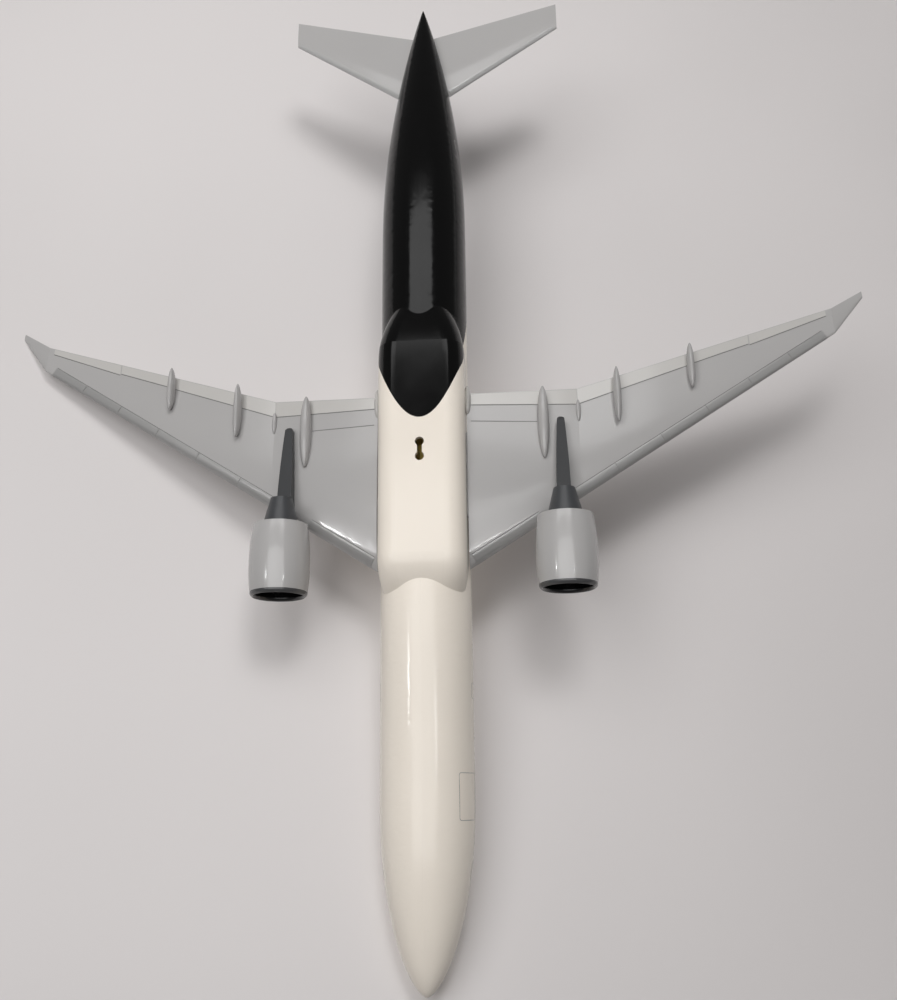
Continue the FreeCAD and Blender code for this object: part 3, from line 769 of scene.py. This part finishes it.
def pale_sheet(name, colour, shade_low, shade_high, mirrored):
    """A pale surface that shows only from its front; if not mirrored, only the camera sees it."""
    material, tree, shader = new_material(name)
    shader.inputs["Roughness"].default_value = 0.55
    # Painted light and shade: a soft mottle makes the sheet lighter and darker in broad patches, for uneven
    # light across it
    painted_light_mottle = step_node(tree, noise_node(tree, 4.0, 2.0), 0.3, 0.7)
    low = tuple(c * shade_low for c in colour)
    high = tuple(c * shade_high for c in colour)
    tree.links.new(mix_colour(tree, painted_light_mottle, low, high), shader.inputs["Base Color"])
    facing = add_node(tree, "ShaderNodeNewGeometry")
    front = math_node(tree, "SUBTRACT", 1.0, facing.outputs["Backfacing"])
    ray = looking_ray(tree) if mirrored else camera_ray(tree)
    seen = math_node(tree, "MULTIPLY", ray, front)
    clear = add_node(tree, "ShaderNodeBsdfTransparent")
    shown = mix_shader(tree, seen, clear.outputs[0], shader.outputs[0])
    tree.links.new(shown, tree.nodes["Material Output"].inputs["Surface"])
    return material


def sheet(name, corners, material):
    """A flat four-cornered stage surface; its front is on the side its corners turn left about."""
    mesh = bpy.data.meshes.new(name)
    mesh.from_pydata(corners, [], [[0, 1, 2, 3]])
    mesh.materials.append(material)
    thing = bpy.data.objects.new(name, mesh)
    bpy.context.scene.collection.objects.link(thing)
    return thing


table_reach = 1.5
table_middle = 50.0 * MM
table_rise_aft = 0.161
table_rise_port = -0.15
floor_reach = 4.0
floor_gap = 0.3 * MM


def table_corner(x, y):
    """A corner of the table that the upturned model leans on with its fin, nose and a wing tip."""
    return (x, y, table_middle + table_rise_aft * y + table_rise_port * x)


table_paint = pale_sheet("table_top", (0.66, 0.63, 0.625), 0.96, 1.02, True)
table_corners = [table_corner(x * table_reach, y * table_reach)
                 for x, y in ((-1, -1), (-1, 1), (1, 1), (1, -1))]
sheet("table", table_corners, table_paint)

floor_paint = pale_sheet("floor_top", (0.70, 0.68, 0.67), 0.97, 1.02, False)
floor_z = cad_box[0].z - floor_gap
floor_corners = [(x * floor_reach, y * floor_reach, floor_z)
                 for x, y in ((-1, -1), (1, -1), (1, 1), (-1, 1))]
sheet("floor", floor_corners, floor_paint)

# ---------------------------------------------------------------------- light

def lamp(name, place, aim, size, power, lights=True, mirrored=True):
    """A rectangular soft box that lights matt surfaces, is mirrored in glossy ones, or both."""
    data = bpy.data.lights.new(name, "AREA")
    data.shape = "RECTANGLE"
    data.size, data.size_y = size
    data.energy = power
    thing = bpy.data.objects.new(name, data)
    thing.location = place
    thing.rotation_euler = (Vector(aim) - Vector(place)).to_track_quat("-Z", "Y").to_euler()
    thing.visible_camera = False
    thing.visible_diffuse = lights
    thing.visible_glossy = mirrored
    bpy.context.scene.collection.objects.link(thing)
    return thing


# Under the belly, where the camera is
centre = (0, 0, axis_z)
lamp("under_key", (-0.18, 0.42, -0.80), centre, (0.26, 0.26), 2.35, mirrored=False)
lamp("under_fill", (0.30, 0.10, -0.84), centre, (0.6, 0.6), 3.4, mirrored=False)
lamp("under_panel", (0.05, 0.49, -0.62), (0.05, 0.48, axis_z), (0.75, 0.34), 1.85)
lamp("under_panel_forward", (0.045, -0.02, -0.62), (0.045, -0.03, axis_z), (0.70, 0.40), 2.0,
     lights=False)
lamp("under_strip_port", (0.42, 0.0, -0.50), (0, 0.0, axis_z), (0.06, 0.014), 0.25, lights=False)
lamp("under_strip_starboard", (-0.33, -0.04, -0.64), (0, -0.04, axis_z), (0.07, 0.014), 0.14,
     lights=False)

# Over the crown, for the views from above
lamp("over_key", (0.5, -0.6, 0.9), centre, (0.5, 0.5), 7.0, mirrored=False)
lamp("over_fill", (-0.8, 0.5, 0.7), centre, (0.7, 0.7), 3.0, mirrored=False)

ROOM_LIGHT = (1.0, 0.98, 0.97)
ROOM_DIM = (0.15, 0.148, 0.146)
ROOM_PALE = (0.78, 0.76, 0.75)


def studio():
    """A soft even light; seen or mirrored, the room is pale above and dim below."""
    world = bpy.data.worlds.new("studio")
    world.use_nodes = True
    tree = world.node_tree
    soft = tree.nodes["Background"]
    soft.inputs["Color"].default_value = (*ROOM_LIGHT, 1.0)
    soft.inputs["Strength"].default_value = 0.2
    direction = add_node(tree, "ShaderNodeTexCoord")
    heading = add_node(tree, "ShaderNodeSeparateXYZ")
    tree.links.new(direction.outputs["Generated"], heading.inputs[0])
    upward = step_node(tree, heading.outputs["Z"], 0.05, 0.35)
    pale = math_node(tree, "MAXIMUM", upward, camera_ray(tree))
    room = add_node(tree, "ShaderNodeBackground")
    tree.links.new(mix_colour(tree, pale, ROOM_DIM, ROOM_PALE), room.inputs["Color"])
    chosen = mix_shader(tree, looking_ray(tree), soft.outputs[0], room.outputs[0])
    tree.links.new(chosen, tree.nodes["World Output"].inputs["Surface"])
    return world


bpy.context.scene.world = studio()
bpy.context.scene.view_settings.view_transform = "Standard"
